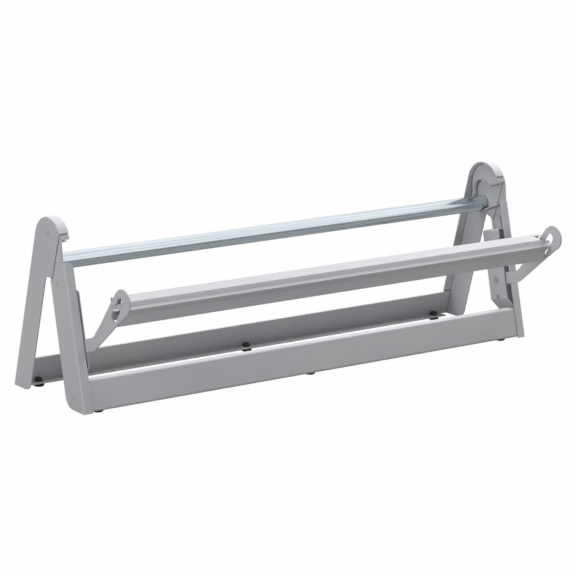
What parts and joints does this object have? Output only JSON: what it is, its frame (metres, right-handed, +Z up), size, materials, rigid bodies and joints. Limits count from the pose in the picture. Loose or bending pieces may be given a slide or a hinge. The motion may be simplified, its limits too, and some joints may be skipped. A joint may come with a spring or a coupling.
{
  "type": "gift wrap paper cutter",
  "caption": "Counter-top steel stand that holds one roll of gift wrap on a rod between two A-frames, with a cutter bar on swinging arms.",
  "frame": {"origin": "on the counter, under the middle of the part's bounding box, with the cutter in its forward place", "axes": "+X along the rails and the roll rod, +Y to the rear, away from the cutter bar, +Z up"},
  "size_m": [0.9924, 0.3738, 0.3359],
  "materials": {
    "grey_enamel": "smooth baked enamel, satin",
    "painted_rivets": "same enamel over the rivet heads",
    "zinc_plate": "bright zinc plate with a blue cast, drawn lengthwise",
    "plated_steel": "zinc plated",
    "blade_steel": "ground, bright edge",
    "spring_steel": "drawn wire",
    "black_rubber": "matt moulded rubber"
  },
  "bodies": {
    "frame": {"rear_leg_left": "grey_enamel", "rear_leg_right": "grey_enamel", "front_leg_left": "grey_enamel", "front_leg_right": "grey_enamel", "rod_cradle_left": "grey_enamel", "rod_cradle_right": "grey_enamel", "guide_bracket_left": "grey_enamel", "guide_bracket_right": "grey_enamel", "arm_pivot_left": "plated_steel", "arm_pivot_right": "plated_steel", "spring_anchor_left": "plated_steel", "spring_anchor_right": "plated_steel", "front_rail": "grey_enamel", "rear_rail": "grey_enamel", "head_rivets": "painted_rivets", "bracket_rivets": "painted_rivets", "foot_front_left": "black_rubber", "foot_front_middle": "black_rubber", "foot_front_right": "black_rubber", "foot_rear_left": "black_rubber", "foot_rear_middle": "black_rubber", "foot_rear_right": "black_rubber"},
    "cutter": {"cutter_arm_left": "grey_enamel", "cutter_arm_right": "grey_enamel", "cutter_bar": "grey_enamel", "cutting_blade": "blade_steel", "spring_studs": "plated_steel"},
    "roll_rod": {"roll_rod": "zinc_plate"},
    "spring_left": {"arm_spring_left": "spring_steel"},
    "spring_right": {"arm_spring_right": "spring_steel"}
  },
  "joints": [
    {"name": "cutter_swing", "type": "hinge", "parent": "frame", "child": "cutter", "pos_m": [0, -0.0049, 0.112], "axis": [-1, 0, 0], "range_deg": [0, 64]},
    {"name": "rod_spin", "type": "hinge", "parent": "frame", "child": "roll_rod", "pos_m": [0, 0.0671, 0.251], "axis": [1, 0, 0], "continuous": true},
    {"name": "spring_tilt_left", "type": "hinge", "parent": "frame", "child": "spring_left", "pos_m": [-0.4835, -0.0119, 0.08], "axis": [-1, 0, 0], "range_deg": [0, 15]},
    {"name": "spring_tilt_right", "type": "hinge", "parent": "frame", "child": "spring_right", "pos_m": [0.4835, -0.0119, 0.08], "axis": [-1, 0, 0], "range_deg": [0, 15]}
  ],
  "couplings": [
    {"joint": "spring_tilt_left", "follows": "cutter_swing", "ratio": 0.2288},
    {"joint": "spring_tilt_right", "follows": "cutter_swing", "ratio": 0.2288}
  ]
}
